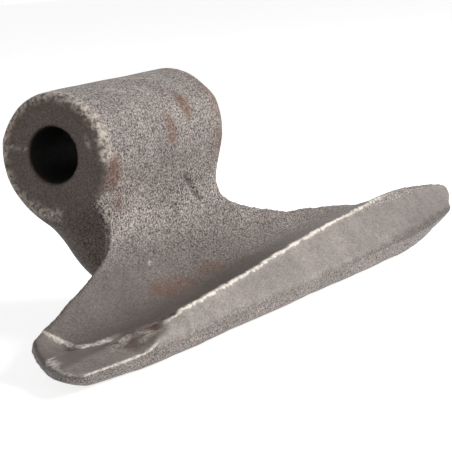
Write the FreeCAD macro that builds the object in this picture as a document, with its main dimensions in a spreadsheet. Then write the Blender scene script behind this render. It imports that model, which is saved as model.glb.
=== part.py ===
# Shredder hammer: one steel forging that swings on a pin through its eye.
# Frame: X runs along the pin, Z points up from the blade to the eye, and the scooped
# front of the blade looks along -Y. The origin is the middle of the bore.
# Widths are measured from the middle plane of the eye, "front" distances from the pin
# axis towards -Y, and depths from the pin axis downwards. All sizes are millimetres.
import FreeCAD, Part
import math
import os
import Sketcher

doc = FreeCAD.newDocument("shredder_hammer")
sheet = doc.addObject("Spreadsheet::Sheet", "sizes")

SIZES = [
    ("bore_diameter", 16.5, "bore for a 16 mm pin"),
    ("eye_diameter", 36.5, "outside of the eye"),
    ("eye_length", 68.0, "length of the eye along the pin"),
    ("eye_round", 2.5, "rounded rim of both ends of the eye"),
    ("neck_width", 64.5, "width of the neck, a little under the eye"),
    ("neck_front", 15.3, "front face of the neck"),
    ("neck_top", 4.0, "top of the neck, inside the eye"),
    ("turn_ahead", 0.9, "neck's front turns into the scoop: step forwards from the point before"),
    ("turn_up", -25.0, "the same, step upwards"),
    ("fall_ahead", 3.8, "steep part of the scoop: step forwards from the point before"),
    ("fall_up", -9.5, "the same, step upwards"),
    ("floor_ahead", 6.0, "back of the scoop's floor: step forwards from the point before"),
    ("floor_up", -6.6, "the same, step upwards"),
    ("dip_ahead", 6.5, "lowest line of the scoop: step forwards from the point before"),
    ("dip_up", -0.9, "the same, step upwards"),
    ("rise_ahead", 8.5, "scoop rises to the lip: step forwards from the point before"),
    ("rise_up", 2.2, "the same, step upwards"),
    ("lip_ahead", 7.8, "cutting lip: step forwards from the point before"),
    ("lip_up", 3.0, "the same, step upwards"),
    ("nose_ahead", 6.4, "lower edge of the flat front band: step forwards from the point before"),
    ("nose_up", -8.2, "the same, step upwards"),
    ("heel_ahead", -8.7, "rounded heel meets the sole: step forwards from the point before"),
    ("heel_up", -8.2, "the same, step upwards"),
    ("sole_ahead", -17.1, "sole starts to rise to the back: step forwards from the point before"),
    ("sole_up", 2.2, "the same, step upwards"),
    ("bend_ahead", -9.4, "underside behind the sole: step forwards from the point before"),
    ("bend_up", 1.8, "the same, step upwards"),
    ("hollow_ahead", -10.4, "back face just over the sole: step forwards from the point before"),
    ("hollow_up", 4.2, "the same, step upwards"),
    ("heel_bulge", 0.2, "how far the heel's round stands out, as a share of its chord"),
    ("waist_behind", 2.4, "back face half way up, behind the pin axis"),
    ("waist_depth", 35.0, "the same, depth"),
    ("nape_behind", 12.8, "back face under the eye, behind the pin axis"),
    ("nape_depth", 20.0, "the same, depth"),
    ("crown_behind", 18.8, "top of the back face, just outside the eye"),
    ("crown_depth", 3.0, "the same, depth"),
    ("scoop_climb", 5.2, "how much scoop and lip climb from the middle to the far tip"),
    ("lip_draw", 0.7, "how far the lip stands back at the far tip"),
    ("nose_reach", 2.3, "how far the band's lower edge stands forward at the far tip"),
    ("nose_climb", 1.0, "how much the band's lower edge climbs to the far tip"),
    ("heel_reach", 1.5, "how far the heel stands forward at the far tip"),
    ("climb_spread", 60.0, "distance over which most of the climb happens"),
    ("climb_start", 10.0, "front distance where the climb begins to show"),
    ("climb_full", 35.0, "front distance from where it is complete"),
    ("inner_reach", 20.0, "half width where the neck's back corners start to round"),
    ("outer_reach", 27.5, "half width inside those rounded corners"),
    ("root_reach", 45.0, "half width where the neck has run out into the wing"),
    ("wing_back", 14.0, "upright back edge of the wing at its root, front"),
    ("wing_slope", 0.169, "how much that edge moves forward per millimetre outwards"),
    ("corner_lead", 2.5, "how far before the wing's back corner the slanted end starts"),
    ("tip_lift", 11.5, "how much the heel rises over the slanted end, up to the tip"),
    ("back_edge", 4.0, "height of the wing's upright edge"),
    ("under_round", 11.0, "largest rounding under the wing's edges"),
    ("under_share", 0.95, "the same as a share of the wing's thickness, where it is thin"),
    ("web", 3.2, "thickness of the sheet between wing and neck, trimmed off later"),
    ("tip_ahead", 1.9, "point that the tip rounds off to: step forwards from the lip"),
    ("tip_up", -6.2, "the same, step upwards"),
    ("tip_climb", 3.0, "how much that point climbs to the far side"),
    ("plan_tilt", 22.7, "degrees between the forging's parting plane and the level"),
    ("wing_shift", 9.0, "how far the pair of wings is off centre"),
    ("wing_root", 25.8, "wing's back edge at the neck, from the pin in the plan"),
    ("wing_root_round", 11.0, "concave corner between the neck and the wing"),
    ("corner_reach", 95.5, "wing's back corner, half width"),
    ("corner_plan", 38.6, "wing's back corner, from the pin in the plan"),
    ("corner_round", 16.0, "rounding of the wing's back corner"),
    ("tip_reach", 119.5, "wing's tip, half width"),
    ("tip_plan", 66.4, "wing's tip, from the pin in the plan"),
    ("tip_round", 8.0, "rounding of the wing's tip"),
    ("toe_reach", 74.5, "where the wing's front corner starts, half width"),
    ("toe_plan", 77.4, "where the wing's front corner starts, in the plan"),
    ("scrap", 60.0, "how far the trimmed-off scrap may reach outside the plan"),
]
for row, (alias, value, note) in enumerate(SIZES, start=1):
    sheet.set(f"A{row}", alias)
    sheet.set(f"B{row}", str(value))
    sheet.set(f"C{row}", note)
    sheet.setAlias(f"B{row}", alias)
doc.recompute()


def size(alias):
    return float(sheet.get(alias))


body = doc.addObject("PartDesign::Body", "hammer")
body.Label = "hammer"


def new_sketch(name, role):
    """Sketch on one of the body's own origin planes."""
    sketch = body.newObject("Sketcher::SketchObject", name)
    plane = next(f for f in body.Origin.OriginFeatures if f.Role == role)
    sketch.AttachmentSupport = [(plane, "")]
    sketch.MapMode = "FlatFace"
    return sketch


# Cross-sections of neck and blade, one for each station along the pin. Each has the
# scooped front from the neck down to the lip, and the line from the lip over the band,
# heel and sole up the back. Beside the neck only a thin sheet joins the wing to the
# neck's height, so that all sections have the same points, and it is trimmed off.


def at(front, height):
    """Point of a cross-section, from its front distance and its height."""
    return FreeCAD.Vector(-front, height, 0)


def step(name):
    return at(size(name + "_ahead"), size(name + "_up"))


# Middle section: the walk from the neck's front round the blade to its back face.
spots = {}
place = at(size("neck_front"), 0)
for name in ("turn", "fall", "floor", "dip", "rise", "lip", "nose", "heel", "sole", "bend", "hollow"):
    place = place + step(name)
    spots[name] = place
spots["tip"] = spots["lip"] + step("tip")


def behind(name):
    return at(-size(name + "_behind"), -size(name + "_depth"))


def between(start, end, share):
    return start + (end - start) * share


def clipped(value):
    return min(1.0, max(0.0, value))


def heel_middle(heel, nose):
    """Point in the middle of the round between the sole and the band."""
    chord = nose - heel
    bulge = size("heel_bulge")
    return between(heel, nose, 0.5) + at(-chord.y * bulge, chord.x * bulge)


def height_over(points, front):
    """Height of the line through the points, at a front distance."""
    for a, b in zip(points, points[1:]):
        if -a.x <= front < -b.x:
            return a.y + (b.y - a.y) * (front + a.x) / (a.x - b.x)
    return points[-1].y


def drawn_in(point, tip, fullness):
    """Point drawn towards the tip, the more the farther forward it is."""
    start = spots["fall"].x
    share = clipped((point.x - start) / (spots["rise"].x - start))
    return between(point, tip, (1 - fullness) * share)


def front_face(turn):
    """Points of the front, from the neck's top to the lip. Turn is -1 to 1 along the pin."""
    neck_top = at(size("neck_front"), size("neck_top"))
    neck_middle = at(size("neck_front"), spots["turn"].y / 2)
    points = [neck_top, neck_middle]
    for name in ("turn", "fall", "floor", "dip", "rise", "lip"):
        point = spots[name]
        run = size("climb_full") - size("climb_start")
        share = clipped((-point.x - size("climb_start")) / run)
        points.append(point + at(0, size("scoop_climb") * turn * share))
    points[-1] += at(-size("lip_draw") * turn, 0)
    return points


def wing_underside(front_points, middle_points, reach):
    """Underside of the wing, rounded towards its back edge and its slanted end."""
    outwards = abs(reach - size("wing_shift"))
    past_corner = max(0.0, outwards - size("corner_reach") + size("corner_lead"))
    end_run = size("tip_reach") - size("corner_reach")
    end_rise = (size("tip_plan") - size("corner_plan")) / math.cos(math.radians(size("plan_tilt")))
    from_root = outwards - size("root_reach") + size("wing_shift")
    back = size("wing_back") + size("wing_slope") * from_root + end_rise / end_run * past_corner
    square = end_rise / math.hypot(end_rise, end_run) if past_corner else 1.0
    end_lift = size("tip_lift") * (past_corner / end_run) ** 2
    fall = spots["fall"]
    points = []
    for middle in middle_points:
        front = max(-middle.x, -fall.x)
        top = height_over(front_points, front)
        radius = min(size("under_round"), size("under_share") * (top - middle.y))
        inside = radius * clipped((front - back) * square / radius)
        lift = radius - math.sqrt(radius ** 2 - (radius - inside) ** 2)
        points.append(at(front, min(middle.y + end_lift + lift, top - size("web"))))
    edge = at(min(back, -fall.x - size("web")), fall.y - size("back_edge"))
    return points, edge, end_lift


# Points along the sole, and along the bend behind it, as shares of their lengths.
SOLE_STEPS = (0.0, 0.36, 0.72, 1.0)
BEND_STEPS = (0.5, 1.0)


def section(name, reach, formula, low_share, high_share, fullness=1.0):
    """Cross-section at a reach along the pin. The shares lead from neck (0) to wing (1)."""
    turn = math.tanh(reach / size("climb_spread"))
    front_points = front_face(turn)
    lip = front_points[-1]
    nose = spots["nose"] + at(size("nose_reach") * turn, size("nose_climb") * turn)
    heel = spots["heel"] + at(size("heel_reach") * turn, 0)
    sole = spots["sole"]
    bend = spots["bend"]
    low = [between(heel, sole, share) for share in SOLE_STEPS]
    low += [between(sole, bend, share) for share in BEND_STEPS]
    high = [spots["hollow"], behind("waist"), behind("nape"), behind("crown")]
    wing_low, wing_edge, end_lift = wing_underside(front_points, low, reach)
    sheet_back = size("neck_front") - size("web")
    wing_high = [
        wing_edge,
        spots["turn"] - at(size("web"), 0),
        at(sheet_back, spots["turn"].y / 2),
        at(sheet_back, -size("crown_depth")),
    ]
    low = [between(p, q, low_share) for p, q in zip(low, wing_low)]
    shares = (low_share, low_share, high_share, high_share)
    high = [between(p, q, share) for p, q, share in zip(high, wing_high, shares)]
    nose += at(0, end_lift * low_share / 2)
    under = [lip, between(lip, nose, 0.5), nose, heel_middle(low[0], nose)] + low + high
    tip = spots["tip"] + at(size("nose_reach") * turn, size("tip_climb") * turn)
    front_line = Part.BSplineCurve()
    front_line.interpolate([drawn_in(p, tip, fullness) for p in front_points])
    under = [drawn_in(p, tip, fullness) for p in under]
    under_line = Part.BSplineCurve()
    under_line.interpolate(under)
    top_line = Part.LineSegment(under[-1], front_points[0])
    sketch = new_sketch(name, "YZ_Plane")
    sketch.addGeometry([front_line, under_line, top_line], False)
    sketch.setExpression("AttachmentOffset.Base.z", formula)
    return sketch


# Beside the neck, by half width: the shares of wing form low down and high up.
NECK_STATIONS = [
    ("inner_reach", 1.0, 0.04, 0.02),
    ("outer_reach", 1.0, 0.3, 0.12),
    ("neck_width", 0.5, 0.85, 0.4),
]
# Along the wing: share of the way from its root to its back corner.
WING_STATIONS = (0.24, 0.77)
# Wing's end: share of the way from the corner to the tip, and fullness of the section.
FAR_END = [(-0.06, 1.0), (0.23, 1.0), (0.44, 1.0), (0.625, 0.93), (0.77, 0.7), (0.89, 0.25)]
NEAR_END = [(-0.06, 1.0), (0.23, 1.0), (0.4, 0.98), (0.54, 0.84), (0.64, 0.55), (0.69, 0.2)]


def half(side, end_stations):
    """Sections of one half, from the neck outwards. Side is 1 for the far half, -1 for the near one."""
    word = "far" if side > 0 else "near"
    made = []
    for alias, factor, low_share, high_share in NECK_STATIONS:
        reach = side * factor * size(alias)
        formula = f"{side * factor} * sizes.{alias}"
        made.append(section(f"{word}_{alias}", reach, formula, low_share, high_share))
    reach = side * size("root_reach")
    made.append(section(f"{word}_root", reach, f"{side} * sizes.root_reach", 1.0, 1.0))
    shift = size("wing_shift")
    root = size("root_reach") + shift
    corner = size("corner_reach")
    for number, share in enumerate(WING_STATIONS):
        reach = side * (root + share * (corner - root)) + shift
        root_way = "(sizes.root_reach + sizes.wing_shift)"
        way = f"{root_way} + {share} * (sizes.corner_reach - {root_way})"
        formula = f"{side} * ({way}) + sizes.wing_shift"
        made.append(section(f"{word}_wing_{number}", reach, formula, 1.0, 1.0))
    for number, (share, fullness) in enumerate(end_stations):
        reach = side * (corner + share * (size("tip_reach") - corner)) + shift
        way = f"sizes.corner_reach + {share} * (sizes.tip_reach - sizes.corner_reach)"
        formula = f"{side} * ({way}) + sizes.wing_shift"
        made.append(section(f"{word}_end_{number}", reach, formula, 1.0, 1.0, fullness))
    return made


near_half = half(-1, NEAR_END)
middle = section("middle", 0.0, "0 * sizes.root_reach", 0.0, 0.0)
far_half = half(1, FAR_END)
stations = far_half[::-1] + [middle] + near_half
doc.recompute()
blank = body.newObject("PartDesign::AdditiveLoft", "blade_blank")
blank.Profile = stations[0]
blank.Sections = stations[1:]
blank.Ruled = True
doc.recompute()

# Plan of neck and wings, in the tilted parting plane: the trimming die cuts away
# everything outside of it.


def rounded_corner(before, corner, after, radius):
    """Start, arc and end that round one corner of an outline."""
    back = before.sub(corner).normalize()
    on = after.sub(corner).normalize()
    half_angle = back.getAngle(on) / 2
    run = radius / math.tan(half_angle)
    start = corner + back * run
    end = corner + on * run
    bisector = (back + on).normalize()
    mid = corner + bisector * (radius / math.sin(half_angle) - radius)
    return start, Part.Arc(start, mid, end), end


def wing_side(side):
    """Corners and roundings of one half of the plan, from the neck's top to the front."""
    def corner(reach, plan_distance, moved):
        return FreeCAD.Vector(side * reach + moved, -plan_distance, 0)
    neck_half = size("neck_width") / 2
    shift = size("wing_shift")
    return [
        (corner(neck_half, -size("scrap"), 0), 0),
        (corner(neck_half, size("wing_root"), 0), size("wing_root_round")),
        (corner(size("corner_reach"), size("corner_plan"), shift), size("corner_round")),
        (corner(size("tip_reach"), size("tip_plan"), shift), size("tip_round")),
        (corner(size("toe_reach"), size("toe_plan"), shift), 0),
    ]


corners = wing_side(-1) + wing_side(1)[::-1]
rounded = []
for i, (corner, radius) in enumerate(corners):
    if radius:
        rounded.append(rounded_corner(corners[i - 1][0], corner, corners[i + 1][0], radius))
    else:
        rounded.append((corner, None, corner))
edges = []
for i, (start, arc, end) in enumerate(rounded):
    edges.append(Part.LineSegment(rounded[i - 1][2], start))
    if arc:
        edges.append(arc)
low_x = -size("tip_reach") - size("scrap")
high_x = size("tip_reach") + size("scrap")
low_y = -size("toe_plan") - size("scrap")
high_y = 2 * size("scrap")
frame = [
    FreeCAD.Vector(low_x, low_y, 0),
    FreeCAD.Vector(high_x, low_y, 0),
    FreeCAD.Vector(high_x, high_y, 0),
    FreeCAD.Vector(low_x, high_y, 0),
]
for i in range(4):
    edges.append(Part.LineSegment(frame[i - 1], frame[i]))
plan = new_sketch("plan_of_the_trim", "XY_Plane")
plan.addGeometry(edges, False)
tilt_turn = FreeCAD.Rotation(FreeCAD.Vector(1, 0, 0), size("plan_tilt"))
plan.AttachmentOffset = FreeCAD.Placement(FreeCAD.Vector(), tilt_turn)
plan.setExpression("AttachmentOffset.Rotation.Angle", "sizes.plan_tilt")
doc.recompute()
trim = body.newObject("PartDesign::Pocket", "trim_to_plan")
trim.Profile = plan
trim.Type = "ThroughAll"
trim.Midplane = True
doc.recompute()

# Eye: a short round boss that the neck runs into, forged with it. Its rims are rounded.
eye_half = size("eye_length") / 2
eye_radius = size("eye_diameter") / 2
rim = size("eye_round")
inset = rim * (1 - math.sqrt(0.5))
left_end = FreeCAD.Vector(-eye_half, eye_radius - rim, 0)
left_top = FreeCAD.Vector(rim - eye_half, eye_radius, 0)
left_foot = FreeCAD.Vector(-eye_half, 0, 0)
right_end = FreeCAD.Vector(eye_half, eye_radius - rim, 0)
right_top = FreeCAD.Vector(eye_half - rim, eye_radius, 0)
right_foot = FreeCAD.Vector(eye_half, 0, 0)
left_mid = FreeCAD.Vector(inset - eye_half, eye_radius - inset, 0)
right_mid = FreeCAD.Vector(eye_half - inset, eye_radius - inset, 0)
eye_profile = new_sketch("eye_profile", "XY_Plane")
eye_outline = [
    Part.LineSegment(left_foot, right_foot),
    Part.LineSegment(right_foot, right_end),
    Part.Arc(right_end, right_mid, right_top),
    Part.LineSegment(right_top, left_top),
    Part.Arc(left_top, left_mid, left_end),
    Part.LineSegment(left_end, left_foot),
]
eye_profile.addGeometry(eye_outline, False)
doc.recompute()
eye = body.newObject("PartDesign::Revolution", "eye")
eye.Profile = eye_profile
eye.ReferenceAxis = (eye_profile, ["H_Axis"])
eye.Angle = 360
doc.recompute()

# Bore for the pin, drilled right through the eye.
bore_circle = new_sketch("bore_circle", "YZ_Plane")
bore_outline = Part.Circle(FreeCAD.Vector(), FreeCAD.Vector(0, 0, 1), size("bore_diameter") / 2)
bore_circle.addGeometry(bore_outline, False)
bore_circle.addConstraint(Sketcher.Constraint("Coincident", 0, 3, -1, 1))
bore_circle.addConstraint(Sketcher.Constraint("Diameter", 0, size("bore_diameter")))
bore_circle.setExpression("Constraints[1]", "sizes.bore_diameter")
doc.recompute()
bore = body.newObject("PartDesign::Pocket", "pin_bore")
bore.Profile = bore_circle
bore.Type = "ThroughAll"
bore.Midplane = True
doc.recompute()
body.Tip = bore
body.Placement = FreeCAD.Placement()
doc.recompute()

# A cut takes material away, the eye adds some, and every feature is sound.
assert 0 < trim.Shape.Volume < blank.Shape.Volume
assert bore.Shape.Volume < eye.Shape.Volume > trim.Shape.Volume
for item in doc.Objects:
    assert "Invalid" not in item.State and "Error" not in item.State, item.Name
for feature in (blank, trim, eye, bore):
    assert not feature.Shape.isNull() and feature.Shape.isValid(), feature.Name
assert len(body.Shape.Solids) == 1

os.makedirs("parts", exist_ok=True)
body.Shape.exportStep("parts/hammer.step")
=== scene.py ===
import bpy
import numpy as np
from mathutils import Matrix, Vector


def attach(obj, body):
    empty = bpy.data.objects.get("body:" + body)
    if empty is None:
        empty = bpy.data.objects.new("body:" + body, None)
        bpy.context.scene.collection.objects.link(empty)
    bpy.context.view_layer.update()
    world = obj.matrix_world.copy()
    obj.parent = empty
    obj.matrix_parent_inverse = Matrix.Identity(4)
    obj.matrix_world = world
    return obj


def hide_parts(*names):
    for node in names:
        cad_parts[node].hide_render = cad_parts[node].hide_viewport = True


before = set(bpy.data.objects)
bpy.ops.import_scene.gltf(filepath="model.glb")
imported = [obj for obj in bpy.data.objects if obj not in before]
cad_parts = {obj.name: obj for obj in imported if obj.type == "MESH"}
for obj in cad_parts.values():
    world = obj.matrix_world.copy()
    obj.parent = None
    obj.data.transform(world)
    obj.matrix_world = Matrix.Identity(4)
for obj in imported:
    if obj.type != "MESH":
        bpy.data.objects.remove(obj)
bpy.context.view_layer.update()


# The hammer is one steel forging: an eye for the pin, a neck, and a wide scooped blade
# whose lip climbs to one side. It was pressed in dies, trimmed, drilled and shot-blasted.
# Sizes are in millimetres: x along the pin, "front" from the pin axis forwards, z up.
EYE_RADIUS = 18.25
EYE_HALF = 34.0
EYE_RIM = 2.6
BORE_RADIUS = 8.25
NECK_FRONT = 12.6
NECK_HALF = 32.24
PLAN_TILT = np.radians(22.7)
WING_START = 18.7
WING_SHIFT = 9.0
BLADE_FRONT = 77.4
LIP_CLIMB = 0.089
LIP_SPAN = 60
BAND_FRONT = 48.8
BAND_HEIGHT = -37
BAND_LEAN = np.radians(-40.9)
BAND_TURN = 0.026
EDGE_ROUND = 3.2
FLANK_ROUND = 18.2
HEEL_ROUND = 12.8
EYE_BLEND = 10.3


def curve(p0, p1, p2, p3, count):
    """Points along one smooth bend, leaving p0 towards p1 and reaching p3 from p2."""
    t = np.linspace(0, 1, count)[:, None]
    p0, p1, p2, p3 = (np.array(p, float) for p in (p0, p1, p2, p3))
    return (1 - t) ** 3 * p0 + 3 * (1 - t) ** 2 * t * p1 + 3 * (1 - t) * t * t * p2 + t ** 3 * p3


def heading(degrees):
    angle = np.radians(degrees)
    return np.array([np.cos(angle), np.sin(angle)])


# Side view of the forging: the front runs down the neck and turns into the scoop, the
# back leaves the eye, leans forward and ends as the sole.
scoop_low = np.array([26.75, -41.4])
scoop_end = np.array([75.0, -27.45])
into_scoop = heading(-18.8)
front_bend = curve((NECK_FRONT, -8.6), (NECK_FRONT, -14.7), scoop_low - 9.2 * into_scoop, scoop_low, 24)
scoop_rise = curve(scoop_low, scoop_low + 12 * into_scoop, scoop_end - 15 * heading(3.9), scoop_end, 24)
front_line = np.concatenate([front_bend, scoop_rise[1:]])
below = [[scoop_end[0], -120], [-80, -120], [-80, 60]]
front_side = np.concatenate([[[NECK_FRONT, 60.0]], front_line, below])

back_top = EYE_RADIUS * heading(199.9)
sole_start = np.array([29.4, -51.0])
along_sole = heading(-6.25)
back_line = curve(back_top, back_top + 22.1 * heading(289.9), sole_start - 30.3 * along_sole, sole_start, 32)
sole_end = sole_start + along_sole * 56
back_side = np.concatenate([back_line, [sole_end], [[85, 90], [back_top[0], 90]]])

# Plan of the forging along the dies' direction, from the neck to the front: the near
# half ends in a slanted tip and the far half in a rounder one.
neck_edge = np.array([NECK_HALF, WING_START])
near_corner = np.array([93.0, 36.4])
near_tip = np.array([117.8, 66.4])
far_corner = np.array([94.04, 35.4])
far_tip = np.array([119.4, 62.6])
wing_toe = np.array([74.55, BLADE_FRONT])
behind_neck = [[NECK_HALF, -30.0]]
past_middle = [[-60, BLADE_FRONT], [-60, -30.0]]
near_plan = np.concatenate([
    behind_neck,
    curve(neck_edge, neck_edge + [0, 8.0], near_corner - 20 * heading(18), near_corner, 28),
    curve(near_corner, near_corner + 2.5 * heading(40), near_tip + [0, 0.75], near_tip, 12)[1:],
    curve(near_tip, near_tip - [0, 1.2], wing_toe + [8.7, 0], wing_toe, 12)[1:],
    past_middle,
])
far_plan = np.concatenate([
    behind_neck,
    curve(neck_edge, neck_edge + [0, 8.7], far_corner - 18.8 * heading(15), far_corner, 28),
    curve(far_corner, far_corner + 16 * heading(30), far_tip - [0, 6.6], far_tip, 12)[1:],
    curve(far_tip, far_tip + [0, 6.9], wing_toe + [14, -0.5], wing_toe, 12)[1:],
    past_middle,
])


def outline_distance(outline, low, high, step=0.5):
    """Signed distance to a closed outline on a fine grid, negative inside."""
    xs = np.arange(low[0], high[0] + step, step)
    ys = np.arange(low[1], high[1] + step, step)
    px, py = (g.ravel() for g in np.meshgrid(xs, ys, indexing="ij"))
    near = np.full(px.shape, 1e9)
    inside = np.zeros(px.shape, bool)
    for a, b in zip(outline, np.roll(outline, -1, 0)):
        e = b - a
        length = e @ e
        if length < 1e-9:
            continue
        t = np.clip(((px - a[0]) * e[0] + (py - a[1]) * e[1]) / length, 0, 1)
        near = np.minimum(near, (px - a[0] - t * e[0]) ** 2 + (py - a[1] - t * e[1]) ** 2)
        if e[1]:
            crosses = (a[1] > py) != (b[1] > py)
            inside ^= crosses & (px < a[0] + (py - a[1]) * e[0] / e[1])
    grid = np.where(inside, -1, 1) * np.sqrt(near)
    return grid.reshape(len(xs), len(ys)), low, step


def look_up(table, a, b):
    """Value of such a grid at any points, between its nodes."""
    grid, low, step = table
    u = np.clip((a - low[0]) / step, 0, grid.shape[0] - 1.001)
    v = np.clip((b - low[1]) / step, 0, grid.shape[1] - 1.001)
    i, j = u.astype(int), v.astype(int)
    u, v = u - i, v - j
    return ((grid[i, j] * (1 - u) + grid[i + 1, j] * u) * (1 - v)
            + (grid[i, j + 1] * (1 - u) + grid[i + 1, j + 1] * u) * v)


front_table = outline_distance(front_side, (-45, -85), (85, 40))
back_table = outline_distance(back_side, (-45, -85), (85, 40))
near_table = outline_distance(near_plan, (-2, -50), (150, 95))
far_table = outline_distance(far_plan, (-2, -50), (150, 95))


def round_cut(a, b, blend):
    """What both shapes hold, with the edge between them rounded."""
    h = np.maximum(blend - np.abs(a - b), 0) / blend
    return np.maximum(a, b) + h * h * blend * 0.25


def round_join(a, b, blend):
    """What either shape holds, with the corner between them filled."""
    return -round_cut(-a, -b, blend)


def die_faces(x, front, z):
    """Signed distances to the scooped front, the back, the trimmed plan and the front band."""
    climb = LIP_CLIMB * LIP_SPAN * np.tanh(x / LIP_SPAN) + 0.9 * np.exp(-((x - 88) / 16) ** 2)
    climb -= 0.0045 * np.maximum(x - 95, 0) ** 2
    climb = climb * np.clip((front - 10) / 25, 0, 1)
    front_gap = look_up(front_table, front, z - climb)
    back_gap = look_up(back_table, front, z)
    plan = front * np.cos(PLAN_TILT) - z * np.sin(PLAN_TILT)
    in_wing = np.clip((plan - WING_START) / 20, 0, 1)
    across = x - WING_SHIFT * in_wing
    near_gap, far_gap = (look_up(table, np.abs(across), plan) for table in (near_table, far_table))
    plan_gap = np.where(across > 0, far_gap, near_gap)
    ahead = (front - BAND_FRONT) * np.cos(BAND_LEAN) - (z - BAND_HEIGHT) * np.sin(BAND_LEAN)
    band_gap = (ahead - BAND_TURN * x) / np.hypot(1, BAND_TURN)
    return front_gap, back_gap, plan_gap, band_gap


def forging(x, front, z):
    """Signed distance to the forging's skin before it was worn, in millimetres."""
    front_gap, back_gap, plan_gap, band_gap = die_faces(x, front, z)
    near_front = np.clip(np.abs(front_gap) / 8, 0, 1)
    rounding = EDGE_ROUND * (1 - near_front) + FLANK_ROUND * near_front
    slab = np.maximum(np.maximum(front_gap, back_gap), z - 4)
    shape = round_cut(slab, plan_gap, rounding)
    heel = 0.3 + HEEL_ROUND * np.clip((-42 - z) / 6, 0, 1)
    shape = round_cut(shape, band_gap, heel)
    radial = np.hypot(front, z)
    a = radial - (EYE_RADIUS - EYE_RIM)
    b = np.abs(x) - (EYE_HALF - EYE_RIM)
    eye = np.hypot(np.maximum(a, 0), np.maximum(b, 0)) + np.minimum(np.maximum(a, b), 0) - EYE_RIM
    shape = round_join(shape, eye, EYE_BLEND)
    flare = 1.2 * np.maximum(radial - 16, 0) + 10 * np.maximum(radial - 22, 0)
    shape = np.maximum(shape, np.abs(x) - EYE_HALF - flare)
    return np.maximum(shape, BORE_RADIUS - radial)


def lumps(x, y, z, size, seed):
    """Smooth seeded unevenness from -1 to 1, with humps of about the given size."""
    lattice = np.random.default_rng(seed).uniform(-1, 1, (24, 24, 24))
    low = [np.floor(v / size).astype(int) for v in (x, y, z)]
    share = [v / size - c for v, c in zip((x, y, z), low)]
    share = [t * t * (3 - 2 * t) for t in share]
    total = np.zeros(np.shape(x))
    for corner in np.ndindex(2, 2, 2):
        weight = np.ones(np.shape(x))
        for t, c in zip(share, corner):
            weight = weight * (t if c else 1 - t)
        total += weight * lattice[tuple((v + c) % 24 for v, c in zip(low, corner))]
    return total


# Near end of the blade: the top sheet of the scoop ends in a crease with a nick, and
# from there a flat oval pad, worn level, runs to the rim. Beside it the lip is torn.
PAD_LEVEL = -46.4
PAD_STEP = 0.8
NICK = (-76.3, 28.5)
LAP = [(12, -13.5), (15.3, -16.5), (17.5, -19.5), (21, -22.2)]
crease = [(-86, 12), (-77.3, 23), (-74.7, 26), (-73.2, 30.6), (-66.9, 32.8), (-59, 33.3)]
torn_side = [(-55, 42), (-52, 54), (-52, 75)]
pad_outline = np.array(crease + torn_side + [(-135, 75), (-135, 12)], float)
pad_table = outline_distance(pad_outline, (-130, 0), (-30, 75))


def pad_height(x, front):
    """Height of the pad, which climbs to the lip and to the wing's back edge."""
    to_lip = 6.5 * np.clip((x + 75) / 20, 0, 1) * np.clip((front - 34) / 6, 0, 1)
    to_back = 1.1 * np.maximum(31 - front, 0)
    return PAD_LEVEL + to_lip + to_back


def torn_share(x, front):
    """1 in the middle of the torn corner, falling to 0 at its border."""
    return np.clip(2 - 2 * np.hypot((x + 65) / 14, (front - 43.5) / 10), 0, 1)


def from_line(x, y, points):
    """Distance to a broken line in a plane."""
    near = np.full(np.shape(x), 1e9)
    for (ax, ay), (bx, by) in zip(points, points[1:]):
        length = (bx - ax) ** 2 + (by - ay) ** 2
        t = np.clip(((x - ax) * (bx - ax) + (y - ay) * (by - ay)) / length, 0, 1)
        near = np.minimum(near, np.hypot(x - ax - t * (bx - ax), y - ay - t * (by - ay)))
    return near


def lip_share(x, front_gap, band_gap):
    """1 on the burr that the trimming left along the lip, falling to 0 beside it."""
    beside = np.hypot(front_gap, band_gap)
    along = np.clip((x + 60) / 6, 0, 1) * np.clip((88 - x) / 12, 0, 1)
    return np.exp(-(beside / 0.9) ** 2) * along


def from_nick(x, front):
    return np.hypot(x - NICK[0], front - NICK[1])


def worn_skin(x, front, z):
    """Signed distance to the forging as it is, with its burr, pad, tears and unevenness."""
    shape = forging(x, front, z)
    close = np.abs(shape) < 3
    x, front, z = x[close], front[close], z[close]
    front_gap, _, plan_gap, band_gap = die_faces(x, front, z)
    top_side = np.clip((front_gap + 3) / 2, 0, 1) * np.clip((front - 8) / 6, 0, 1)
    uneven = 0.16 * lumps(x, front, z, 11, 1) + 0.07 * lumps(x, front, z, 4, 2)
    uneven *= np.clip((np.hypot(front, z) - BORE_RADIUS) / 2, 0, 1)
    burr = 0.75 * lip_share(x, front_gap, band_gap) * (0.65 + 0.5 * lumps(x, front, z, 2.6, 3))
    torn = torn_share(x, front) * np.clip((front_gap + 4) / 2, 0, 1)
    tear = 1.1 * np.exp(-(from_nick(x, front) / 1.6) ** 2) * (z > -49)
    tear += torn * (0.3 + 0.8 * lumps(x, front, z, 3.4, 4) + 0.6 * lumps(x, front, z, 1.8, 6))
    beyond = -look_up(pad_table, x, front)
    on_pad = np.clip(beyond / 1.2, 0, 1)
    step = PAD_STEP * on_pad * np.clip(1 - beyond / 12, 0, 1) * np.clip((-plan_gap - 2) / 5, 0, 1)
    heel_edge = np.clip(1 - np.abs(z + 50) / 4, 0, 1) * np.clip((band_gap + 4) / 3, 0, 1)
    chips = 0.28 * heel_edge * lumps(x, front, z, 2.8, 5)
    lap = 0.9 * np.exp(-(from_line(x, z, LAP) / 0.9) ** 2) * (front > 5)
    worn = shape[close] - burr + step * top_side
    worn += on_pad * (round_cut(worn, z - pad_height(x, front), 0.8) - worn)
    shape[close] = worn + uneven + tear + chips + lap
    return shape


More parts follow.
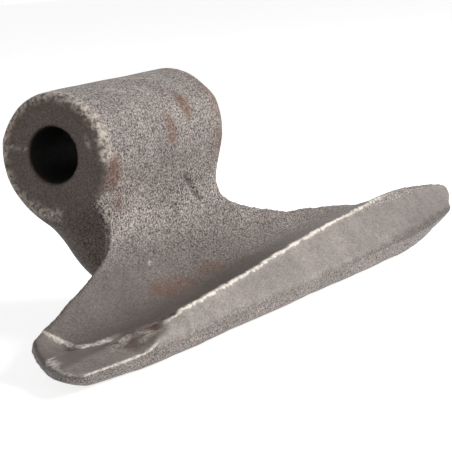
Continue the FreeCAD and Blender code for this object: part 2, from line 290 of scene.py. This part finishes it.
def skin_mesh(name, low, high, step):
    """Mesh of the forging's skin: one point in each cell that the skin passes through."""
    xs, ys, zs = (np.arange(a, b + step, step) for a, b in zip(low, high))
    gx, gy, gz = np.meshgrid(xs, ys, zs, indexing="ij")
    field = worn_skin(gx.ravel(), -gy.ravel(), gz.ravel()).reshape(gx.shape)
    inside = field < 0
    corners = [(i, j, k) for i in (0, 1) for j in (0, 1) for k in (0, 1)]
    cells = tuple(n - 1 for n in field.shape)

    def at(block, corner):
        i, j, k = corner
        return block[i:i + cells[0], j:j + cells[1], k:k + cells[2]]

    count = sum(at(inside, c).astype(int) for c in corners)
    mixed = (count > 0) & (count < 8)
    total = np.zeros(cells + (3,))
    hits = np.zeros(cells)
    for c in corners:
        for axis in range(3):
            if c[axis]:
                continue
            d = list(c)
            d[axis] = 1
            fa, fb = at(field, c), at(field, tuple(d))
            crossing = (fa < 0) != (fb < 0)
            t = np.where(crossing, fa / np.where(crossing, fa - fb, 1), 0)
            for k in range(3):
                total[..., k] += np.where(crossing, c[k] + (t if k == axis else 0), 0)
            hits += crossing
    index = np.full(cells, -1)
    index[mixed] = np.arange(mixed.sum())
    place = total[mixed] / hits[mixed][:, None] + np.argwhere(mixed)
    points = np.array(low) + place * step
    faces = []
    for axis in range(3):
        others = [k for k in range(3) if k != axis]
        take = [slice(1, -1)] * 3
        take[axis] = slice(0, -1)
        ahead = [slice(1, -1)] * 3
        ahead[axis] = slice(1, None)
        a, b = inside[tuple(take)], inside[tuple(ahead)]
        for out, flip in ((a & ~b, False), (~a & b, True)):
            spots = np.argwhere(out)
            for k in others:
                spots[:, k] += 1
            ring = []
            for du, dv in ((1, 1), (0, 1), (0, 0), (1, 0)):
                cell = spots.copy()
                cell[:, others[0]] -= du
                cell[:, others[1]] -= dv
                ring.append(index[tuple(cell.T)])
            quads = np.stack(ring, 1)
            if flip ^ (axis == 1):
                quads = quads[:, ::-1]
            faces.append(quads)
    faces = np.concatenate(faces)
    mesh = bpy.data.meshes.new(name)
    mesh.from_pydata((points * 0.001).tolist(), [], faces.tolist())
    mesh.validate()
    return mesh


MESH_STEP = 0.8
hammer_mesh = skin_mesh("forged_hammer", (-114.3, -66, -60), (130, 24, 22), MESH_STEP)
hammer = bpy.data.objects.new("forged_hammer", hammer_mesh)
bpy.context.scene.collection.objects.link(hammer)
bpy.ops.object.select_all(action="DESELECT")
hammer.select_set(True)
bpy.context.view_layer.objects.active = hammer
bpy.ops.object.shade_smooth()
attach(hammer, "root")
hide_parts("hammer")

# Where the steel is darker (with painted shade), speckled, worn bright (with painted highlight) or rusted,
# as amounts at each point.
spots = np.array([v.co for v in hammer_mesh.vertices]) * 1000
px, pf, pz = spots[:, 0], -spots[:, 1], spots[:, 2]
radial = np.hypot(pf, pz)
front_gap, _, plan_gap, band_gap = die_faces(px, pf, pz)
wide = lumps(px, pf, pz, 14, 11)
small = lumps(px, pf, pz, 3, 12)


def smooth(low, high, value):
    """0 up to the first value and 1 from the second, with a soft change between."""
    t = np.clip((value - low) / (high - low), 0, 1)
    return t * t * (3 - 2 * t)


def hump(value, width):
    return np.exp(-(value / width) ** 2)


def patch(x, front, z, length, height):
    """Soft ragged patch round a place on the skin, with its half sizes."""
    away = np.sqrt(((px - x) / length) ** 2 + ((pf - front) / height) ** 2 + ((pz - z) / height) ** 2)
    return smooth(1.2, 0.5, away + 0.35 * small)


# The blade's regions: flat band, rough strip along its bottom, scoop, pad and torn corner.
near_end = px < 0
on_band = smooth(-1.3, -0.5, band_gap) * (pz < -34)
on_front = smooth(-1.6, -0.8, front_gap) * (1 - on_band) * smooth(10, 14, pf)
strip = on_band * smooth(0.8, -1.2, pz - (-46.6 + 0.045 * px) + 0.7 * small)
# Painted shade where the scoop rises to the lip and turns away from the lamp; fewer specks there too.
lip_rise_shade = on_front * smooth(25, 33, pf) * smooth(70, 20, px)
# The scoop, weighted to the near end, where it carries a painted shadow of the neck over steel that is
# oil-dark too.
scoop = on_front * smooth(-18, -36, pz) * (1 - 0.5 * smooth(0, 80, px))
pad_side = look_up(pad_table, px, pf)
on_plane = smooth(-1.0, -0.4, pz - pad_height(px, pf))
pad = (pad_side < 0) * np.maximum(on_front, on_plane) * smooth(-54, -60, px)
torn = torn_share(px, pf) * smooth(-7, -4, front_gap)

# The eye's regions: end faces, rims that rub on the fork, the bore, and the neck below.
end_face = smooth(EYE_HALF - 1.0, EYE_HALF - 0.5, np.abs(px)) * (radial < EYE_RADIUS + 1)
rim = hump(radial - EYE_RADIUS + 0.9, 1.6) * smooth(EYE_HALF - 4.5, EYE_HALF - 1.5, np.abs(px))
inner_rim = hump(radial - EYE_RADIUS + 3.2, 1.4) * smooth(EYE_HALF - 2.5, EYE_HALF - 0.8, np.abs(px))
around = np.degrees(np.arctan2(pz, pf))
rubbed = near_end * (1 - smooth(-4, -14, around) * smooth(-88, -76, around))
in_bore = smooth(BORE_RADIUS + 0.7, BORE_RADIUS + 0.2, radial)
far_ring = smooth(EYE_HALF - 9, EYE_HALF - 3, px) * smooth(EYE_RADIUS - 3, EYE_RADIUS - 1, radial)
far_ring *= (pf > -4) * (pz > -12)
neck_side = smooth(-24, -28, px) * smooth(-10, -18, pz) * smooth(15, 12, pf) * (1 - end_face)

# Tone of the steel, with painted shade worked into it in the lines below.
tone_and_shade = 1 + (0.12 - 0.2 * smooth(10, 100, px)) * on_band - 0.42 * strip
# Painted shadow: the scoop darker towards the near end, over oil-dark steel; painted shade where it rises to
# the lip.
tone_and_shade *= (1 - 0.47 * scoop) * (1 - 0.15 * lip_rise_shade)
# Painted shade: the end faces, turned away from the lamp, are darkened, a little less towards the bottom.
tone_and_shade *= 1 - (0.4 - 0.08 * smooth(4, -8, pz)) * end_face
# Painted shade: the neck's side, turned away from the lamp, is darkened.
tone_and_shade *= (1 - 0.45 * neck_side) * (1 - 0.5 * hump(from_line(px, pz, LAP), 0.8) * (pf > 5))
tone_and_shade *= 1 + 0.5 * pad * on_front
# Painted shade inside the nick at the crease's end.
tone_and_shade *= 1 - 0.75 * hump(from_nick(px, pf), 1.7) * (pz > -49)
tone_and_shade *= 1 - 0.1 * (radial < EYE_RADIUS + 1)
# Painted shade: the inside of the bore is darkened almost to black.
tone_and_shade *= (1 - 0.95 * in_bore) * (1 - 0.2 * torn)
tone_and_shade *= 1 + 0.08 * wide
speck = 0.9 - 0.66 * on_band + 0.3 * strip - 0.6 * pad - 0.45 * end_face - 0.3 * lip_rise_shade
speck *= 1 - 0.6 * scoop * smooth(20, -40, px)
speck *= 1 + 0.35 * smooth(-8, -14, pz) * smooth(-38, -30, pz) * on_front

# Worn bright, with painted highlight on the burr and on the near rim's upper side: the burr, the rims, the
# torn corner, and scratches, each a line in the plane of two directions on the side given.
scratches = [
    (px, pf, pz > 8, [(-14.7, 7.6), (-8.3, 10.2)]),
    (px, pf, pz > 8, [(0.5, 2.1), (12.3, 7.1)]),
    (px, pf, pz > 8, [(-1.5, 9.5), (0.5, 12.5)]),
    (px, pz, pf > 14, [(-19.4, -34.5), (-16.2, -33.6)]),
    (px, pz, pf > 12, [(-28, -24.2), (-25, -25.4)]),
    (pf, pz, px < -33.5, [(-16, 2.9), (-8.9, 1.9)]),
    (pz, pf, px < -29, [(-21, 13.8), (-33, 13.3)]),
]
wear_and_highlight_parts = [
    # The burr: trimmed metal with a painted highlight along the ridge.
    lip_share(px, front_gap, band_gap) * (0.75 + 0.5 * small),
    # The near rim: rubbed metal with a painted highlight, strongest on its upper side.
    0.95 * rim * rubbed * smooth(-0.8, 0.1, small + 0.6 * smooth(-6, 10, pz)),
    0.3 * rim * ~near_end * smooth(0, 0.6, small),
    0.6 * torn * smooth(-0.2, 0.3, small),
] + [0.6 * hump(from_line(a, b, points), 0.45) * side for a, b, side, points in scratches]
wear_and_highlight = np.max(wear_and_highlight_parts, 0)

# Rust: strength, place and half sizes of each patch, then thin rust by region.
rust_patches = [
    (1.0, 13, 16.5, 9, 2.9, 5),
    (0.75, 2, 18.6, 2.5, 3.6, 5.5),
    (0.85, -29.5, 17, -6, 3.4, 6),
    (0.6, -26, 15.5, -15, 3, 4),
    (0.6, -18, 26, -41, 12, 4.5),
    (0.45, 4, 26, -40, 12, 4),
]
rust_parts = [strength * patch(*spot) for strength, *spot in rust_patches] + [
    0.45 * rim * smooth(-0.3, 0.4, -small),
    0.7 * inner_rim * rubbed * smooth(-12, 0, pz) * smooth(-0.5, 0.3, small),
    0.55 * far_ring * smooth(-0.5, 0.4, small),
    0.2 * np.maximum(end_face, neck_side),
    0.1 * scoop,
    0.75 * torn * smooth(-0.2, 0.5, -small),
]
rust = np.max(rust_parts, 0)

# Sharp worn edges, the lip's with a painted highlight as well: the signed distance from each, which passes
# zero on the edge, and where along the edge the brightening shows.
along_lip = np.clip((px + 62) / 5, 0, 1) * np.clip((105 - px) / 65, 0, 1)
pad_rim = smooth(-6, -3, np.maximum(plan_gap, band_gap))
along_crease = np.clip((-62 - px) / 3, 0, 1) * np.clip((px + 90) / 3, 0, 1)
edges = {
    "lip_edge": front_gap - band_gap + 0.6,
    "pad_edge": forging(px, pf, pz) - (pz - pad_height(px, pf)),
    "crease": pad_side + 0.5,
}
shares = {
    "tone_and_shade": tone_and_shade,
    "speck": speck,
    "wear_and_highlight": wear_and_highlight,
    "rust": rust,
    "lip_edge_on": along_lip * np.clip((pf - 35) / 3, 0, 1),
    "pad_edge_on": np.clip(-pad_side / 2, 0, 1) * np.clip((-66 - px) / 6, 0, 1) * pad_rim,
    "crease_on": along_crease * np.clip((pz + 49) / 2, 0, 1),
}
shares = {name: np.clip(amounts, 0, 2) for name, amounts in shares.items()}
for name, amounts in {**shares, **edges}.items():
    field = hammer_mesh.attributes.new(name, "FLOAT", "POINT")
    field.data.foreach_set("value", amounts.astype(np.float32))

# Forged steel: grey-brown with painted shade, salt-and-pepper from the blasting, with rust, rubbed metal and
# bare edges laid over it where the mesh says so; the burr and the near rim carry painted highlight as well.
STEEL = (0.262, 0.228, 0.208)
RUST = (0.17, 0.085, 0.055, 1)
RUBBED_AND_HIGHLIT = (0.72, 0.63, 0.55, 1)
BARE_EDGE_AND_GLINT = (0.86, 0.79, 0.71, 1)
steel = bpy.data.materials.new("forged_steel")
steel.use_nodes = True
tree = steel.node_tree
shader = tree.nodes["Principled BSDF"]
place = tree.nodes.new("ShaderNodeTexCoord").outputs["Object"]


def plug(socket, source):
    """Give a socket a link or a number."""
    if isinstance(source, bpy.types.NodeSocket):
        tree.links.new(source, socket)
    else:
        socket.default_value = source


def grain(scale, detail, roughness):
    noise = tree.nodes.new("ShaderNodeTexNoise")
    noise.inputs["Scale"].default_value = scale
    noise.inputs["Detail"].default_value = detail
    noise.inputs["Roughness"].default_value = roughness
    tree.links.new(place, noise.inputs["Vector"])
    return noise.outputs["Fac"]


def amount(name):
    """What the mesh stores under a name."""
    node = tree.nodes.new("ShaderNodeAttribute")
    node.attribute_name = name
    return node.outputs["Fac"]


def sum_up(operation, a, b, clamp=False):
    node = tree.nodes.new("ShaderNodeMath")
    node.operation = operation
    node.use_clamp = clamp
    plug(node.inputs[0], a)
    plug(node.inputs[1], b)
    return node.outputs[0]


def spread(value, low, high, to_low, to_high):
    node = tree.nodes.new("ShaderNodeMapRange")
    plug(node.inputs["Value"], value)
    ends = (("From Min", low), ("From Max", high), ("To Min", to_low), ("To Max", to_high))
    for name, number in ends:
        node.inputs[name].default_value = number
    return node.outputs["Result"]


def blend_colour(share, under_colour, over_colour):
    node = tree.nodes.new("ShaderNodeMix")
    node.data_type = "RGBA"
    plug(node.inputs["Factor"], share)
    plug(node.inputs["A"], under_colour)
    plug(node.inputs["B"], over_colour)
    return node.outputs["Result"]


fine = grain(1800, 2.0, 0.75)
coarse = grain(420, 3.0, 0.6)
cloudy = grain(110, 4.0, 0.6)
mottled = grain(800, 2.0, 0.6)
salt = sum_up("MULTIPLY", amount("speck"), spread(fine, 0.34, 0.66, -1.2, 1.35))
salt = sum_up("ADD", salt, spread(coarse, 0.3, 0.7, -0.14, 0.14))
shade = sum_up("MULTIPLY", amount("tone_and_shade"), spread(cloudy, 0.3, 0.7, 0.86, 1.14))
shade = sum_up("MULTIPLY", shade, sum_up("MAXIMUM", sum_up("ADD", salt, 1.0), 0.1))
grey = tree.nodes.new("ShaderNodeCombineColor")
for channel, part in zip(("Red", "Green", "Blue"), STEEL):
    tree.links.new(sum_up("MULTIPLY", shade, part), grey.inputs[channel])
rust_share = sum_up("MULTIPLY", amount("rust"), spread(mottled, 0.38, 0.58, 0.3, 1.1), clamp=True)
colour = blend_colour(rust_share, grey.outputs[0], RUST)
wear_and_highlight_share = sum_up("MULTIPLY", amount("wear_and_highlight"), spread(mottled, 0.42, 0.6, 0.1, 1.2), clamp=True)
colour = blend_colour(wear_and_highlight_share, colour, RUBBED_AND_HIGHLIT)


def ragged_line(name, width):
    """1 where a signed distance passes zero, falling to 0 at the width, with a ragged edge."""
    beside = sum_up("ABSOLUTE", amount(name), 0.0)
    beside = sum_up("ADD", beside, spread(coarse, 0.3, 0.7, 0.6 * width, -0.6 * width))
    return spread(beside, width, 0.4 * width, 0.0, 1.0)


# Light lines along the edges: bare metal, and along the lip a painted highlight as well.
worn_and_glinting_edges = (("lip_edge", 0.55, 1.5), ("pad_edge", 0.55, 0.9), ("crease", 0.8, 0.75))
for name, width, strength in worn_and_glinting_edges:
    bright = sum_up("MULTIPLY", ragged_line(name, width), amount(name + "_on"))
    bright = sum_up("MULTIPLY", bright, spread(mottled, 0.3, 0.65, 0.15 * strength, strength), clamp=True)
    colour = blend_colour(bright, colour, BARE_EDGE_AND_GLINT)
tree.links.new(colour, shader.inputs["Base Color"])
dull = sum_up("ADD", coarse, amount("rust"))
tree.links.new(spread(dull, 0.3, 1.2, 0.5, 0.75), shader.inputs["Roughness"])
shader.inputs["Metallic"].default_value = 0.1
shader.inputs["Specular IOR Level"].default_value = 0.3


def rough(height, distance, strength):
    bump = tree.nodes.new("ShaderNodeBump")
    bump.inputs["Distance"].default_value = distance
    bump.inputs["Strength"].default_value = strength
    tree.links.new(height, bump.inputs["Height"])
    return bump


pits = rough(coarse, 0.00025, 0.6)
blast = rough(fine, 0.0001, 0.5)
tree.links.new(pits.outputs[0], blast.inputs["Normal"])
tree.links.new(blast.outputs[0], shader.inputs["Normal"])
hammer_mesh.materials.append(steel)


# Floor: a plain white sheet just under the blade, wide enough to fill every view. It
# looks white to the camera and keeps the hammer's soft shadow.
bpy.ops.object.select_all(action="DESELECT")
bpy.ops.mesh.primitive_plane_add(size=6, location=(0, 0, float(spots[:, 2].min()) / 1000))
floor = bpy.context.object
floor.name = "floor"


def white_to_camera(tree, dim, bright):
    """Strength that is bright for rays from the camera or off metal, and dim for light."""
    path = tree.nodes.new("ShaderNodeLightPath")
    seen = path.outputs["Is Camera Ray"]
    for other in ("Is Glossy Ray", "Is Transmission Ray"):
        either = tree.nodes.new("ShaderNodeMath")
        either.operation = "MAXIMUM"
        tree.links.new(seen, either.inputs[0])
        tree.links.new(path.outputs[other], either.inputs[1])
        seen = either.outputs[0]
    level = tree.nodes.new("ShaderNodeMapRange")
    tree.links.new(seen, level.inputs["Value"])
    level.inputs["To Min"].default_value = dim
    level.inputs["To Max"].default_value = bright
    return level.outputs["Result"]


paper = bpy.data.materials.new("white_paper")
paper.use_nodes = True
paper_tree = paper.node_tree
paper_shader = paper_tree.nodes["Principled BSDF"]
paper_shader.inputs["Base Color"].default_value = (0.85, 0.85, 0.85, 1)
paper_shader.inputs["Roughness"].default_value = 0.9
paper_shader.inputs["Specular IOR Level"].default_value = 0.1
paper_shader.inputs["Emission Color"].default_value = (1, 1, 1, 1)
paper_tree.links.new(white_to_camera(paper_tree, 0.0, 0.8), paper_shader.inputs["Emission Strength"])
floor.data.materials.append(paper)


# Studio: a room that looks white to the camera and gives the hammer a little light from
# all sides.
world = bpy.data.worlds.new("studio")
bpy.context.scene.world = world
world.use_nodes = True
sky = world.node_tree.nodes["Background"]
sky.inputs["Color"].default_value = (1, 1, 1, 1)
world.node_tree.links.new(white_to_camera(world.node_tree, 0.12, 1.0), sky.inputs["Strength"])


# Camera at the photograph's angle: the far end of the pin axis vanishes to the right and
# above the frame, and the eye's centre is left of the middle.
FRAME_PIXELS = 452
FOCUS = 1838.2
FAR_POINT = Vector((1280.84, -158.86))
EYE_PIXEL = Vector((116.60, 138.97))
DISTANCE = 0.55822
middle = FRAME_PIXELS / 2
pin_way = Vector(((FAR_POINT.x - middle) / FOCUS, -(FAR_POINT.y - middle) / FOCUS, -1)).normalized()
up_way = (Vector((0, 1, 0)) - pin_way * pin_way.y).normalized()
back_way = up_way.cross(pin_way)
into_camera = Matrix((pin_way, back_way, up_way)).transposed()
eye_place = Vector(((EYE_PIXEL.x - middle) / FOCUS, -(EYE_PIXEL.y - middle) / FOCUS, -1)) * DISTANCE
camera_data = bpy.data.cameras.new("camera")
camera_data.sensor_width = 36
camera_data.lens = FOCUS / FRAME_PIXELS * 36
camera_data.clip_start = 0.01
camera = bpy.data.objects.new("camera", camera_data)
bpy.context.scene.collection.objects.link(camera)
turn = into_camera.transposed()
camera.matrix_world = Matrix.Translation(-(turn @ eye_place)) @ turn.to_4x4()
bpy.context.scene.camera = camera


# Lamps: a broad soft one from the upper right of the camera and a weak one from the left.
LAMP_DISTANCE = 1.2


def soft_lamp(name, way, size, power):
    """A square lamp that stands off the hammer in a direction given in camera axes."""
    lamp_data = bpy.data.lights.new(name, "AREA")
    lamp_data.shape = "SQUARE"
    lamp_data.size = size
    lamp_data.energy = power
    lamp = bpy.data.objects.new(name, lamp_data)
    bpy.context.scene.collection.objects.link(lamp)
    stand = turn @ Vector(way).normalized() * LAMP_DISTANCE
    lamp.location = stand
    lamp.rotation_euler = stand.to_track_quat("Z", "Y").to_euler()


soft_lamp("key_lamp", (1.5, 0.95, 0.4), 0.6, 13.5)
soft_lamp("fill_lamp", (-1, 0.3, 0.8), 0.9, 0.8)

bpy.context.scene.view_settings.view_transform = "Standard"
